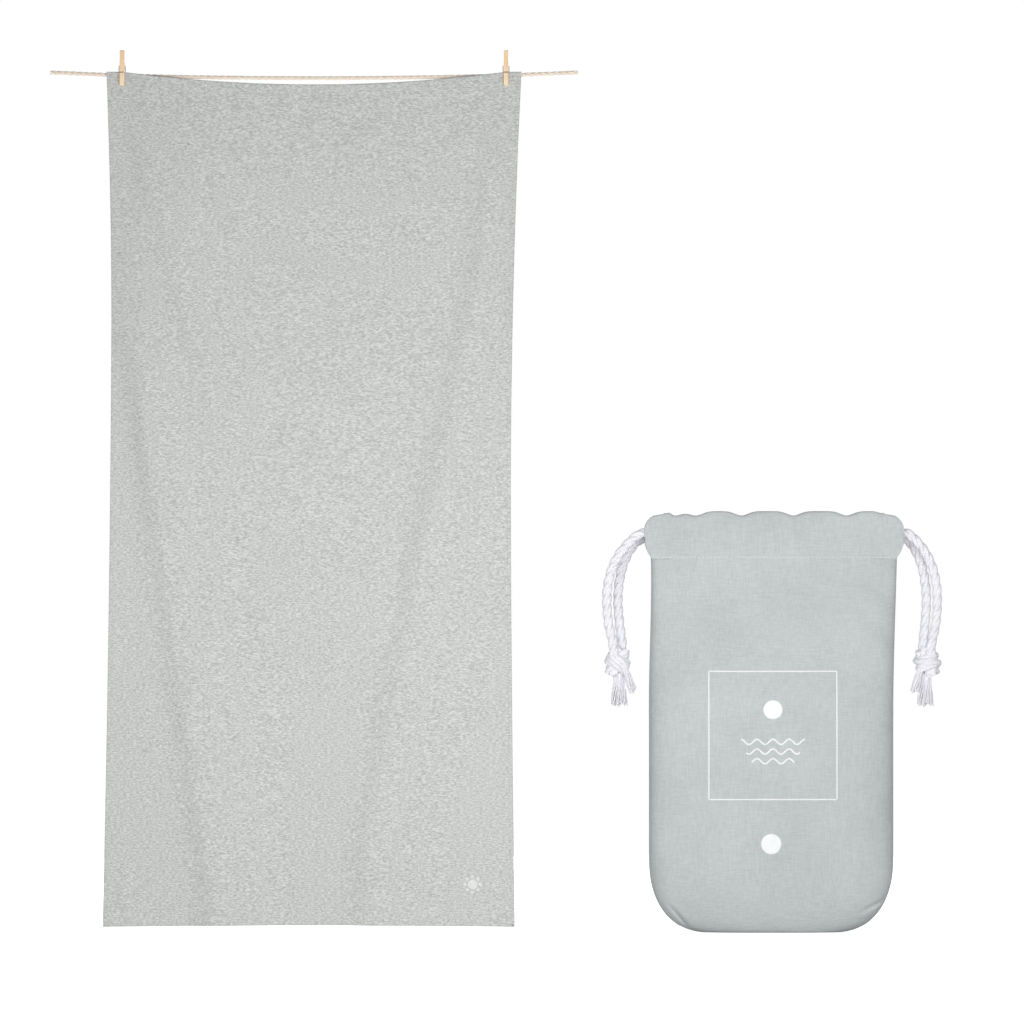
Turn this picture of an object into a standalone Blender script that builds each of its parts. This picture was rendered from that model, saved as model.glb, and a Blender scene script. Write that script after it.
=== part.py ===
"""A travel towel held on a line by two wooden spring pegs, with its drawstring pouch beside it.

Metres, +Z up. The origin is the middle of the line, which runs along X. The towel's front faces -Y."""

import math

import bmesh
import bpy
from mathutils import Vector

MM = 0.001
GAP = 0.3 * MM  # between pieces that touch

# Line
LINE_RADIUS = 1.9 * MM
LINE_REACH = 246.5 * MM  # from the middle to each cut end
LINE_END_RISE = 5.3 * MM
LINE_PEG_RISE = 2.5 * MM  # height of the line where a peg holds it
LINE_STEP = 8 * MM

# Towel
TOWEL_TOP_HALF_WIDTH = 194 * MM
TOWEL_WAIST_LEFT = 190 * MM
TOWEL_WAIST_RIGHT = 184 * MM
TOWEL_BOTTOM_LEFT = 197.9 * MM
TOWEL_BOTTOM_RIGHT = 187.6 * MM
TOWEL_CORNER_Z = 5.8 * MM
TOWEL_LENGTH = 800 * MM  # along the side edges
TOP_SAG = 11.9 * MM
BOTTOM_LIFT = 1.6 * MM
PANEL_THICKNESS = 0.8 * MM
HEM_THICKNESS = 1.6 * MM
HEM_WIDTH = 4 * MM
FOLD_DEPTH = 7.5 * MM
PLUMB_SHIFT = 6.7 * MM  # the cloth swings back below the pegs until its weight hangs under the line
CLOTH_SLACK = 1.5 * MM  # how far the top edge stands ahead of the line between the pegs
SLACK_RUN = 15 * MM
EMBLEM_X = 148.6 * MM
EMBLEM_Z = -754.9 * MM
EMBLEM_RADIUS = 9 * MM
EMBLEM_THICKNESS = 0.6 * MM

# Pegs
PEG_X = 179.5 * MM
PIVOT_Z = 10.7 * MM
HANDLE_LENGTH = 15 * MM
JAW_LENGTH = 17.9 * MM
LEG_HALF_WIDTH = 2.2 * MM
HANDLE_HALF_WIDTH = 1.95 * MM
LEG_THICKNESS = 4.2 * MM
BACK_LEG_EXTRA = 0.6 * MM  # more wood behind the line's slot
HANDLE_TAPER = 0.172  # how fast the handles part above the pivot
WIRE_RADIUS = 0.3 * MM
COIL_RADIUS = 1.5 * MM
COIL_TURNS = 5
COIL_HALF_LENGTH = 1.9 * MM
CROSSBAR_DROP = 5.5 * MM  # below the pivot
LINE_SLOT_RADIUS = LINE_RADIUS + 0.5 * MM
EDGE_CHAMFER = 0.35 * MM

# Pouch
POUCH_X = 430.1 * MM
POUCH_BASE_Z = -798.6 * MM
SEAM_Z = -448.3 * MM  # where the casings are sewn to the body
CASING_TOP_Z = -405 * MM
POUCH_HALF_WIDTH = 114 * MM
POUCH_LEAN = 2.6 * MM  # how far the body settles to the left below its neck
POUCH_HALF_DEPTH = 36 * MM
NECK_FLARE = 0.8 * MM
NECK_HALF_WIDTH = POUCH_HALF_WIDTH + NECK_FLARE
CORD_RADIUS = 4.5 * MM
CORD_Y = 12.5 * MM  # from the middle of the neck to each strand inside its casing
CASING_THICKNESS = 2 * CORD_RADIUS + 4 * MM
NECK_HALF_DEPTH = CORD_Y + CASING_THICKNESS / 2
CORNER_WIDTH = 53 * MM
CORNER_HEIGHT = 68 * MM
CORNER_DEPTH = 16 * MM
CORNER_POWER = 2.2
CORNER_END = math.radians(80)  # where the panels meet the base
CLOTH = 1.2 * MM
SIDE_SEAM_HALF_WIDTH = 2 * MM
SEAM_PROUD = 0.6 * MM
EAR_FLARE = 7.6 * MM
EAR_HALF_WIDTH = POUCH_HALF_WIDTH + EAR_FLARE
EAR_Z = -428.5 * MM
EAR_TOP_Z = -408 * MM
EAR_START = 0.7  # share of the half width where an ear begins
EAR_TUCK = 6.8 * MM  # how far the ears draw in at the stitch line
EAR_ROUND = 18 * MM
PUCKER_DEPTH = 4.2 * MM
PUCKER_WIDTH = 9 * MM
PUCKERS = (-1, -0.76, -0.6, -0.25, 0.15, 0.56, 1)  # as shares of the half width

# Drawcords
CORD_RUN_INSIDE = 70 * MM
CASING_END = EAR_HALF_WIDTH - 1.1 * MM  # where the cords come out, just inside the ears
CORD_STEP = 9 * MM
KNOT_SIZE = Vector((12.8, 10, 12.5)) * MM
KNOT_CENTRE = Vector((25.8, 0, -546.3)) * MM  # outward from the casing's end, along Y, and height
# Outward from the casing's end, along Y, and height, in millimetres
FRONT_STRAND = (
    (0, -12.5, -425.5),
    (10, -12.3, -429.8),
    (21.9, -11.3, -442),
    (30.2, -10, -456.6),
    (34.9, -8.6, -474.2),
    (35.8, -7.2, -492.9),
    (34, -5.8, -511.6),
    (30.6, -4.9, -526),
    (29.6, -4.8, -533.2),
)
BACK_STRAND = (
    (0, 12.5, -431),
    (10.6, 12.3, -437.2),
    (18.2, 11.3, -450),
    (22.8, 10, -464.6),
    (25, 8.6, -480),
    (25.2, 7.2, -494),
    (23.7, 5.8, -511.6),
    (21.8, 4.9, -526),
    (21.4, 4.8, -533.2),
)
LONG_TAIL = ((24.6, 3, -560), (24.2, 3, -575), (23.9, 3, -589))
SHORT_TAIL = ((17, -5, -559), (13.8, -5.6, -567), (10.4, -6, -576))
TAIL_FLARE = 6.5 * MM
RIGHT_REACH = 0.89  # the right drawcord stands out a little less than the left one


def material(name, colour, roughness, metallic=0.0):
    made = bpy.data.materials.new(name)
    made.use_nodes = True
    shader = made.node_tree.nodes["Principled BSDF"]
    shader.inputs["Base Color"].default_value = (*colour, 1)
    shader.inputs["Roughness"].default_value = roughness
    shader.inputs["Metallic"].default_value = metallic
    return made


def share(value, low, high):
    """0 at low, 1 at high, held between them."""
    return min(max((value - low) / (high - low), 0), 1)


def smooth_share(value, low, high):
    t = share(value, low, high)
    return t * t * (3 - 2 * t)


def blend(a, b, t):
    return a + (b - a) * t


def even(low, high, count):
    return [blend(low, high, i / count) for i in range(count + 1)]


def signed_power(value, power):
    return math.copysign(abs(value) ** power, value)


def add_mesh(name, points, faces, finish):
    """One closed mesh, its faces turned outward and its round stretches smooth."""
    mesh = bpy.data.meshes.new(name)
    mesh.from_pydata(points, [], faces)
    shape = bmesh.new()
    shape.from_mesh(mesh)
    bmesh.ops.recalc_face_normals(shape, faces=shape.faces)
    shape.to_mesh(mesh)
    shape.free()
    mesh.materials.append(finish)
    mesh.shade_smooth()
    mesh.set_sharp_from_angle(angle=math.radians(40))
    made = bpy.data.objects.new(name, mesh)
    bpy.context.collection.objects.link(made)
    return made


def add_sheet(name, across, down, front, back, finish):
    """A closed sheet between two surfaces, each a function of a place across and a place down.

    Both surfaces are split along the same diagonals, so that they keep their distance where the sheet twists.
    """
    columns = len(across)
    rows = len(down)
    points = [front(a, d) for d in down for a in across] + [back(a, d) for d in down for a in across]
    behind = columns * rows

    def at(i, j):
        return j * columns + i

    faces = []
    for j in range(rows - 1):
        for i in range(columns - 1):
            corner, opposite = at(i, j), at(i + 1, j + 1)
            for half in ((corner, at(i + 1, j), opposite), (corner, opposite, at(i, j + 1))):
                faces.append(list(half))
                faces.append([behind + k for k in reversed(half)])
    rim = [at(i, 0) for i in range(columns)]
    rim += [at(columns - 1, j) for j in range(1, rows)]
    rim += [at(i, rows - 1) for i in range(columns - 2, -1, -1)]
    rim += [at(0, j) for j in range(rows - 2, 0, -1)]
    for here, after in zip(rim, rim[1:] + rim[:1]):
        faces.append([after, here, behind + here, behind + after])
    return add_mesh(name, points, faces, finish)


def add_loft(name, rings, finish):
    """A solid through rings of points, with both ends closed."""
    count = len(rings[0])
    points = [p for ring in rings for p in ring]
    faces = [list(range(count)), list(range(len(points) - 1, len(points) - 1 - count, -1))]
    for j in range(len(rings) - 1):
        for i in range(count):
            k = (i + 1) % count
            faces.append([j * count + i, j * count + k, (j + 1) * count + k, (j + 1) * count + i])
    return add_mesh(name, points, faces, finish)


def add_sleeve(name, outer_rings, inner_rings, finish):
    """An open-ended tube with a wall between two sets of rings."""
    count = len(outer_rings[0])
    rows = len(outer_rings)
    points = [p for ring in outer_rings + inner_rings for p in ring]
    inside = rows * count
    faces = []
    for i in range(count):
        k = (i + 1) % count
        for j in range(rows - 1):
            wall = [j * count + i, j * count + k, (j + 1) * count + k, (j + 1) * count + i]
            faces.append(wall)
            faces.append([inside + p for p in reversed(wall)])
        for row in (0, rows - 1):
            first = row * count
            faces.append([first + i, first + k, inside + first + k, inside + first + i])
    return add_mesh(name, points, faces, finish)


def smooth_route(stops, step):
    """Points about one step apart on a smooth curve through the stops."""
    stops = [Vector(p) for p in stops]
    padded = [2 * stops[0] - stops[1]] + stops + [2 * stops[-1] - stops[-2]]
    route = [stops[0]]
    for before, here, after, beyond in zip(padded, padded[1:], padded[2:], padded[3:]):
        pieces = max(1, round((after - here).length / step))
        for k in range(1, pieces + 1):
            t = k / pieces
            bend = 2 * before - 5 * here + 4 * after - beyond
            twist = 3 * here - before - 3 * after + beyond
            route.append(0.5 * (2 * here + (after - before) * t + bend * t**2 + twist * t**3))
    return route


def add_tube(name, route, radius, finish, resolution=2):
    curve = bpy.data.curves.new(name, "CURVE")
    curve.dimensions = "3D"
    curve.bevel_depth = radius
    curve.bevel_resolution = resolution
    curve.use_fill_caps = True
    line = curve.splines.new("POLY")
    line.points.add(len(route) - 1)
    for point, place in zip(line.points, route):
        point.co = (*place, 1)
    line.use_smooth = True
    curve.materials.append(finish)
    made = bpy.data.objects.new(name, curve)
    bpy.context.collection.objects.link(made)
    return made


# --- Line ---


def line_height(x):
    """The line hangs slack between the pegs and rises straight to each end outside them."""
    x = abs(x)
    if x < PEG_X:
        return LINE_PEG_RISE * (x / PEG_X) ** 2
    return blend(LINE_PEG_RISE, LINE_END_RISE, (x - PEG_X) / (LINE_REACH - PEG_X))


def add_line():
    count = round(2 * LINE_REACH / LINE_STEP)
    route = [Vector((x, 0, line_height(x))) for x in even(-LINE_REACH, LINE_REACH, count)]
    add_tube("clothes_line", route, LINE_RADIUS, TWINE)


# --- Towel ---

JAW_HALF_GAP = HEM_THICKNESS / 2 + GAP
TOWEL_Y = -(LINE_RADIUS + GAP + HEM_THICKNESS / 2)  # middle of the cloth where the pegs hold it
SIDE_HEM_SHARE = HEM_WIDTH / TOWEL_TOP_HALF_WIDTH
END_HEM_SHARE = HEM_WIDTH / TOWEL_LENGTH
SIDE_GAP_SHARE = GAP / TOWEL_WAIST_RIGHT
END_GAP_SHARE = GAP / (TOWEL_LENGTH - TOP_SAG - BOTTOM_LIFT)


def towel_x(a, h):
    """a runs from -1 at the left edge to 1 at the right, and h from 0 at the top to 1 at the bottom."""
    if a < 0:
        top = (TOWEL_TOP_HALF_WIDTH - TOWEL_WAIST_LEFT) * (1 - share(h, 0, 0.3)) ** 2
        bottom = (TOWEL_BOTTOM_LEFT - TOWEL_WAIST_LEFT) * share(h, 0.3, 1) ** 1.6
        return a * (TOWEL_WAIST_LEFT + top + bottom)
    top = (TOWEL_TOP_HALF_WIDTH - TOWEL_WAIST_RIGHT) * (1 - share(h, 0, 0.5)) ** 2
    bottom = (TOWEL_BOTTOM_RIGHT - TOWEL_WAIST_RIGHT) * share(h, 0.5, 1) ** 1.5
    return a * (TOWEL_WAIST_RIGHT + top + bottom)


def towel_z(a, h):
    peg_share = PEG_X / TOWEL_TOP_HALF_WIDTH
    dip = max(0, 1 - (a / peg_share) ** 2)
    top = TOWEL_CORNER_Z - TOP_SAG * dip
    bottom = TOWEL_CORNER_Z - TOWEL_LENGTH + BOTTOM_LIFT * (1 - a * a)
    return blend(top, bottom, h)


def towel_slack(x):
    """The cloth lies on the line at each peg and stands ahead of it elsewhere."""
    beyond = abs(abs(x) - PEG_X) - 1.6 * LEG_HALF_WIDTH
    return CLOTH_SLACK * share(beyond, 0, SLACK_RUN) ** 2


def bump(distance, width):
    return math.exp(-((distance / width) ** 2))


def fold(past, steep, gentle):
    """A fold that rises sharply on one side and sinks gently on the other."""
    return bump(past, steep if past < 0 else gentle)


def towel_folds(a, h):
    """Two folds run down and inward on the left and one on the right, and the side edges fall back."""
    inward = 1 - abs(a)
    if a < 0:
        upper = fold(inward - blend(0.1, 0.5, share(h, 0, 0.39)), 0.07, 0.22)
        lower = fold(inward - blend(0.09, 0.52, share(h, 0.28, 0.95)), 0.07, 0.24)
        slanted = 0.7 * upper * (1 - smooth_share(h, 0.3, 0.55)) + lower * smooth_share(h, 0.22, 0.42)
    else:
        slanted = fold(blend(0.13, 0.72, share(h, 0.2, 0.9)) - inward, 0.08, 0.26)
    fallen = 0.7 * share(abs(a), 0.86, 1) ** 2 * (1 - smooth_share(h, 0.22, 0.45))
    return FOLD_DEPTH * smooth_share(h, 0.02, 0.16) * (slanted - fallen)


def towel_point(a, h, ahead):
    x = towel_x(a, h)
    held = TOWEL_Y - towel_slack(x) * (1 - smooth_share(h, 0.3, 1))
    plumb = PLUMB_SHIFT * smooth_share(h, 0.03, 0.3)
    return Vector((x, held + plumb - towel_folds(a, h) - ahead, towel_z(a, h)))


def add_cloth(name, across, down, thickness):
    def front(a, h):
        return towel_point(a, h, thickness / 2)

    def back(a, h):
        return towel_point(a, h, -thickness / 2)

    return add_sheet(name, across, down, front, back, HEATHER)


def towel_columns(reach):
    """Places across, from -reach to reach, with one at each edge of each peg."""
    peg = PEG_X / TOWEL_TOP_HALF_WIDTH
    half = 1.6 * LEG_HALF_WIDTH / TOWEL_TOP_HALF_WIDTH
    inner = even(half - peg, peg - half, 22)
    return [-reach, -peg - half] + inner + [peg + half, reach]


def add_towel():
    side = 1 - SIDE_HEM_SHARE - SIDE_GAP_SHARE
    top = END_HEM_SHARE + END_GAP_SHARE
    rows = [top, 0.02] + even(0.05, 1 - top, 20)
    ends = [top, 0.02] + even(0.05, 1 - top, 20)
    add_cloth("towel_panel", towel_columns(side), rows, PANEL_THICKNESS)
    add_cloth("towel_top_hem", towel_columns(1), [0, END_HEM_SHARE], HEM_THICKNESS)
    add_cloth("towel_bottom_hem", towel_columns(1), [1 - END_HEM_SHARE, 1], HEM_THICKNESS)
    add_cloth("towel_left_hem", [-1, SIDE_HEM_SHARE - 1], ends, HEM_THICKNESS)
    add_cloth("towel_right_hem", [1 - SIDE_HEM_SHARE, 1], ends, HEM_THICKNESS)


def add_emblem():
    """A plain sun with eight short rays, embroidered on the lower right corner."""
    centre_a = EMBLEM_X / TOWEL_BOTTOM_RIGHT
    centre_h = (TOWEL_CORNER_Z - EMBLEM_Z) / TOWEL_LENGTH
    near = PANEL_THICKNESS / 2 + 2 * GAP
    far = near + EMBLEM_THICKNESS
    rings = []
    for ahead in (near, far):
        ring = []
        for k in range(32):
            radius = EMBLEM_RADIUS * (1 if k % 4 < 2 else 0.68)
            angle = math.tau * k / 32
            a = centre_a + radius * math.cos(angle) / TOWEL_BOTTOM_RIGHT
            h = centre_h + radius * math.sin(angle) / TOWEL_LENGTH
            ring.append(towel_point(a, h, ahead))
        rings.append(ring)
    add_loft("towel_corner_emblem", rings, WHITE_THREAD)


# --- Pegs ---

NOTCH_RADIUS = COIL_RADIUS + WIRE_RADIUS + GAP + 0.05 * MM
GROOVE_RADIUS = WIRE_RADIUS + GAP
SLOT_HEIGHT = LINE_PEG_RISE - PIVOT_Z
PEG_Y = TOWEL_Y


def arc_reach(offset, radius):
    return math.sqrt(max(0, radius**2 - offset**2))


def leg_inner(height, slotted):
    """How far the inner face stands from the peg's middle plane at this height from the pivot."""
    inner = JAW_HALF_GAP + max(0, height) * HANDLE_TAPER
    if abs(height) < NOTCH_RADIUS:
        inner = max(inner, arc_reach(height, NOTCH_RADIUS))
    from_slot = abs(height - SLOT_HEIGHT)
    if slotted and from_slot <= LINE_SLOT_RADIUS:
        inner = -PEG_Y + arc_reach(from_slot, LINE_SLOT_RADIUS)
    return inner


def leg_outer(height, thickness):
    outer = JAW_HALF_GAP + thickness
    jaw_share = share(-height, 0.6 * JAW_LENGTH, JAW_LENGTH)
    outer -= 0.45 * thickness * jaw_share**1.5
    from_bar = abs(height + CROSSBAR_DROP)
    if from_bar < GROOVE_RADIUS:
        outer -= arc_reach(from_bar, GROOVE_RADIUS)
    top_share = share(height, 0.9 * HANDLE_LENGTH, HANDLE_LENGTH)
    return outer - 0.12 * thickness * top_share**2


def leg_heights(slotted):
    heights = even(-JAW_LENGTH, -0.65 * JAW_LENGTH, 5)
    heights += [-NOTCH_RADIUS * math.cos(math.pi * k / 10) for k in range(11)]
    heights += [GROOVE_RADIUS * math.cos(math.pi * k / 6) - CROSSBAR_DROP for k in range(7)]
    heights += even(3 * MM, 0.9 * HANDLE_LENGTH, 4)
    heights += [0.96 * HANDLE_LENGTH, HANDLE_LENGTH]
    if slotted:
        flare = LINE_SLOT_RADIUS + 0.5 * MM
        heights += [SLOT_HEIGHT - flare, SLOT_HEIGHT + flare]
        heights += [SLOT_HEIGHT + LINE_SLOT_RADIUS * math.cos(math.pi * k / 10) for k in range(11)]
    return sorted(set(heights))


def add_leg(name, x, side, slotted):
    """side is -1 for the front leg and 1 for the back leg."""
    thickness = LEG_THICKNESS + (BACK_LEG_EXTRA if slotted else 0)
    rings = []
    for height in leg_heights(slotted):
        narrow = smooth_share(height, 0, 0.4 * HANDLE_LENGTH)
        half = blend(LEG_HALF_WIDTH, HANDLE_HALF_WIDTH, narrow)
        inner = leg_inner(height, slotted)
        outer = leg_outer(height, thickness)
        section = (
            (-half, inner),
            (half, inner),
            (half, outer - EDGE_CHAMFER),
            (half - EDGE_CHAMFER, outer),
            (EDGE_CHAMFER - half, outer),
            (-half, outer - EDGE_CHAMFER),
        )
        rings.append([Vector((x + dx, PEG_Y + side * dy, PIVOT_Z + height)) for dx, dy in section])
    add_loft(name, rings, WOOD)


def add_coil(name, x):
    count = 12 * COIL_TURNS
    route = []
    for k in range(count + 1):
        angle = math.tau * COIL_TURNS * k / count
        along = blend(-COIL_HALF_LENGTH, COIL_HALF_LENGTH, k / count)
        y = PEG_Y + COIL_RADIUS * math.sin(angle)
        z = PIVOT_Z + COIL_RADIUS * math.cos(angle)
        route.append(Vector((x + along, y, z)))
    add_tube(name, route, WIRE_RADIUS, STEEL, resolution=1)


def add_arm(name, x, side, thickness):
    """The wire leaves one end of the coil, runs down beside the leg and bends across its outer face."""
    beside = COIL_HALF_LENGTH + 2 * WIRE_RADIUS + GAP
    face = JAW_HALF_GAP + thickness
    stops = (
        (-beside, 0.8 * COIL_RADIUS, 0.4 * COIL_RADIUS),
        (-beside, 0.5 * face, -0.35 * CROSSBAR_DROP),
        (-beside, 0.85 * face, -0.8 * CROSSBAR_DROP),
        (1.6 * WIRE_RADIUS - beside, face, -CROSSBAR_DROP),
        (-0.5 * beside, face, -CROSSBAR_DROP),
        (0.75 * beside, face, -CROSSBAR_DROP),
    )
    placed = [(x - side * dx, PEG_Y + side * dy, PIVOT_Z + dz) for dx, dy, dz in stops]
    add_tube(name, smooth_route(placed, 1.2 * MM), WIRE_RADIUS, STEEL, resolution=1)


def add_peg(name, x):
    add_leg(name + "_front_leg", x, -1, False)
    add_leg(name + "_back_leg", x, 1, True)
    add_coil(name + "_spring_coil", x)
    add_arm(name + "_front_arm", x, -1, LEG_THICKNESS)
    add_arm(name + "_back_arm", x, 1, LEG_THICKNESS + BACK_LEG_EXTRA)


# --- Pouch ---

BODY_TOP = SEAM_Z - GAP / 2
CORNER_TOP = POUCH_BASE_Z + CORNER_HEIGHT


def pouch_section(v, inset):
    """Half width, half depth, height and squareness of the body. v runs from 0 at the neck through 1,
    where the bottom corners start, to 2 at the base. inset moves the surface inward."""
    if v <= 1:
        z = blend(BODY_TOP, CORNER_TOP, v)
        neck = (1 - share(v, 0, 0.25)) ** 2
        width = blend(POUCH_HALF_WIDTH, NECK_HALF_WIDTH, neck) - inset
        depth = blend(NECK_HALF_DEPTH, POUCH_HALF_DEPTH, smooth_share(v, 0, 0.55)) - inset
        power = blend(2.8, 6, (1 - share(v, 0, 0.45)) ** 2)
        return width, depth, z, power
    angle = CORNER_END * (v - 1)
    inward = math.cos(angle) ** (2 / CORNER_POWER)
    downward = math.sin(angle) ** (2 / CORNER_POWER)
    width = POUCH_HALF_WIDTH - CORNER_WIDTH + (CORNER_WIDTH - inset) * inward
    depth = POUCH_HALF_DEPTH - CORNER_DEPTH + (CORNER_DEPTH - inset) * inward
    z = CORNER_TOP - (CORNER_HEIGHT - inset) * downward
    return width, depth, z, 2.8


def body_x(v):
    """The middle of the body at this height."""
    return POUCH_X - POUCH_LEAN * smooth_share(v, 0, 0.5)


def pouch_point(u, v, inset, side):
    """u runs from -1 at the left seam to 1 at the right seam, on the front (-1) or back (1) side."""
    width, depth, z, power = pouch_section(v, inset)
    edge = SIDE_SEAM_HALF_WIDTH + GAP
    start = math.asin((edge / depth) ** (power / 2))
    angle = blend(math.pi - start, start, (u + 1) / 2)
    x = width * signed_power(math.cos(angle), 2 / power)
    y = depth * math.sin(angle) ** (2 / power)
    return Vector((body_x(v) + x, side * y, z))


def pouch_rows():
    return even(0, 1, 11) + even(1, 2, 7)[1:]


def add_body_panel(name, side):
    def outer(u, v):
        return pouch_point(u, v, 0, side)

    def inner(u, v):
        return pouch_point(u, v, CLOTH, side)

    add_sheet(name, even(-1, 1, 20), pouch_rows(), outer, inner, POUCH_CLOTH)


def add_side_seam(name, side):
    def at(y, v, inset):
        width, _, z, _ = pouch_section(v, inset)
        return Vector((body_x(v) + side * width, y, z))

    def outer(y, v):
        return at(y, v, -SEAM_PROUD)

    def inner(y, v):
        return at(y, v, CLOTH)

    ends = [-SIDE_SEAM_HALF_WIDTH, SIDE_SEAM_HALF_WIDTH]
    add_sheet(name, ends, pouch_rows(), outer, inner, POUCH_CLOTH)


def add_base():
    width, depth, _, power = pouch_section(2, CLOTH)
    middle = body_x(2)
    half_width = width - 1.5 * GAP - SEAM_PROUD
    half_depth = depth - 1.5 * GAP
    rings = []
    for z in (POUCH_BASE_Z, POUCH_BASE_Z + CLOTH):
        ring = []
        for k in range(40):
            angle = math.tau * k / 40
            x = half_width * signed_power(math.cos(angle), 2 / power)
            y = half_depth * signed_power(math.sin(angle), 2 / power)
            ring.append(Vector((middle + x, y, z)))
        rings.append(ring)
    add_loft("pouch_base", rings, POUCH_CLOTH)


def ear_drop(z):
    """How far a casing's rounded ear falls back from its widest place at this height."""
    if z < EAR_Z:
        return EAR_TUCK * ((EAR_Z - z) / (EAR_Z - SEAM_Z)) ** 2
    rise = share(z, EAR_Z, EAR_TOP_Z)
    return EAR_ROUND * (1 - (1 - rise**2.5) ** 0.4)


def casing_x(place, z):
    """place runs from -1 at the left ear to 1 at the right one."""
    fallen = math.copysign(ear_drop(z), place) * share(abs(place), EAR_START, 1) ** 2
    return POUCH_X + place * EAR_HALF_WIDTH - fallen


def pucker(place):
    """How far the gathered top edge dips at this share of the half width."""
    width = PUCKER_WIDTH / EAR_HALF_WIDTH
    return PUCKER_DEPTH * sum(bump(place - p, width) for p in PUCKERS)


def casing_ring(place, side, inset):
    low = SEAM_Z + GAP / 2
    high = CASING_TOP_Z - pucker(place)
    middle = (low + high) / 2
    half_height = (high - low) / 2 - inset
    half_depth = CASING_THICKNESS / 2 - inset
    centre_y = side * (NECK_HALF_DEPTH - CASING_THICKNESS / 2)
    ring = []
    for k in range(16):
        angle = math.tau * (k + 0.5) / 16
        z = middle + half_height * signed_power(math.sin(angle), 0.4)
        y = centre_y + half_depth * signed_power(math.cos(angle), 0.4)
        ring.append(Vector((casing_x(place, z), y, z)))
    return ring


def add_casing(name, side):
    places = even(-1, 1, 34)
    outer = [casing_ring(place, side, 0) for place in places]
    inner = [casing_ring(place, side, CLOTH) for place in places]
    add_sleeve(name, outer, inner, POUCH_CLOTH)


def add_pouch():
    add_body_panel("pouch_front_panel", -1)
    add_body_panel("pouch_back_panel", 1)
    add_side_seam("pouch_left_seam", -1)
    add_side_seam("pouch_right_seam", 1)
    add_base()
    add_casing("pouch_front_casing", -1)
    add_casing("pouch_back_casing", 1)


# --- Drawcords ---


def cord_place(side, reach, outward, y, z):
    """A place by its distance out from the casing's end."""
    return Vector((POUCH_X + side * (CASING_END + reach * outward), y, z))


def cord_route(side, reach, stops):
    return [cord_place(side, reach, out * MM, y * MM, z * MM) for out, y, z in stops]


def add_strand(name, side, reach, stops):
    _, y, z = stops[0]
    inside = cord_place(side, 1, -CORD_RUN_INSIDE, y * MM, z * MM)
    route = smooth_route([inside] + cord_route(side, reach, stops), CORD_STEP)
    add_tube(name, route, CORD_RADIUS, COTTON)


def add_knot(name, side, reach):
    out, y, z = KNOT_CENTRE
    centre = cord_place(side, reach, out, y, z)
    rings = []
    for j in range(1, 10):
        tilt = math.pi * j / 10
        ring = []
        for k in range(14):
            turn = math.tau * k / 14
            offset = Vector((math.sin(tilt) * math.cos(turn), math.sin(tilt) * math.sin(turn), math.cos(tilt)))
            ring.append(centre + offset * KNOT_SIZE)
        rings.append(ring)
    add_loft(name, rings, COTTON)


def add_tail(name, side, reach, stops, end_radius):
    route = cord_route(side, reach, stops)
    rings = []
    for j, place in enumerate(route):
        radius = blend(CORD_RADIUS, end_radius, j / (len(route) - 1))
        spokes = [math.tau * k / 10 for k in range(10)]
        rings.append([place + Vector((radius * math.cos(s), radius * math.sin(s), 0)) for s in spokes])
    add_loft(name, rings, COTTON)


def add_drawcord(name, side, reach):
    add_strand(name + "_front_strand", side, reach, FRONT_STRAND)
    add_strand(name + "_back_strand", side, reach, BACK_STRAND)
    add_knot(name + "_knot", side, reach)
    add_tail(name + "_long_tail", side, reach, LONG_TAIL, TAIL_FLARE)
    add_tail(name + "_short_tail", side, reach, SHORT_TAIL, CORD_RADIUS)


for left_over in list(bpy.data.objects):
    bpy.data.objects.remove(left_over)

TWINE = material("twine", (0.74, 0.65, 0.52), 0.9)
HEATHER = material("heather_cloth", (0.56, 0.575, 0.56), 0.95)
WHITE_THREAD = material("white_thread", (0.85, 0.85, 0.84), 0.6)
WOOD = material("birch", (0.82, 0.62, 0.40), 0.6)
STEEL = material("spring_steel", (0.55, 0.52, 0.48), 0.35, 1.0)
POUCH_CLOTH = material("pouch_cloth", (0.52, 0.59, 0.59), 0.9)
COTTON = material("cotton_cord", (0.84, 0.84, 0.88), 0.9)

add_line()
add_towel()
add_emblem()
add_peg("left_peg", -PEG_X)
add_peg("right_peg", PEG_X)
add_pouch()
add_drawcord("left_drawcord", -1, 1.0)
add_drawcord("right_drawcord", 1, RIGHT_REACH)
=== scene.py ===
"""The looks of a travel towel on a line, with its wooden pegs and drawstring pouch.

Metres, +Z up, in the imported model's frame. The towel's front faces -Y."""

import math

import bpy
from mathutils import Matrix, Vector, noise


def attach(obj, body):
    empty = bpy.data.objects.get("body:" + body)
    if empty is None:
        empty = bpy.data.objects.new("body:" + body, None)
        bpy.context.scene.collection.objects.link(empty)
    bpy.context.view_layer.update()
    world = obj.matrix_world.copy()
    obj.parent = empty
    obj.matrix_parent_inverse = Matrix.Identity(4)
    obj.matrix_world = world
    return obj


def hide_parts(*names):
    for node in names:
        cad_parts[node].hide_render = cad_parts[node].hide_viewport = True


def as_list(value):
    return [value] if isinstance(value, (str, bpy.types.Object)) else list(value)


MM = 0.001

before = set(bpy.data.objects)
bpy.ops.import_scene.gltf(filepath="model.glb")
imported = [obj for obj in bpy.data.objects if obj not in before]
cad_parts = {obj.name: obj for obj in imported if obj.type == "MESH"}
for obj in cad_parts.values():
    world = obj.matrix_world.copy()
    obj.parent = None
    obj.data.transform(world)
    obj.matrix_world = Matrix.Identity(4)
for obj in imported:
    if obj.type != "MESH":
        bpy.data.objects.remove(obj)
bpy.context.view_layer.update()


def share(value, low, high):
    """0 at low, 1 at high, held between them."""
    return min(max((value - low) / (high - low), 0), 1)


def smooth_share(value, low, high):
    t = share(value, low, high)
    return t * t * (3 - 2 * t)


def blend(a, b, t):
    return a + (b - a) * t


def even(low, high, count):
    return [blend(low, high, i / count) for i in range(count + 1)]


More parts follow.
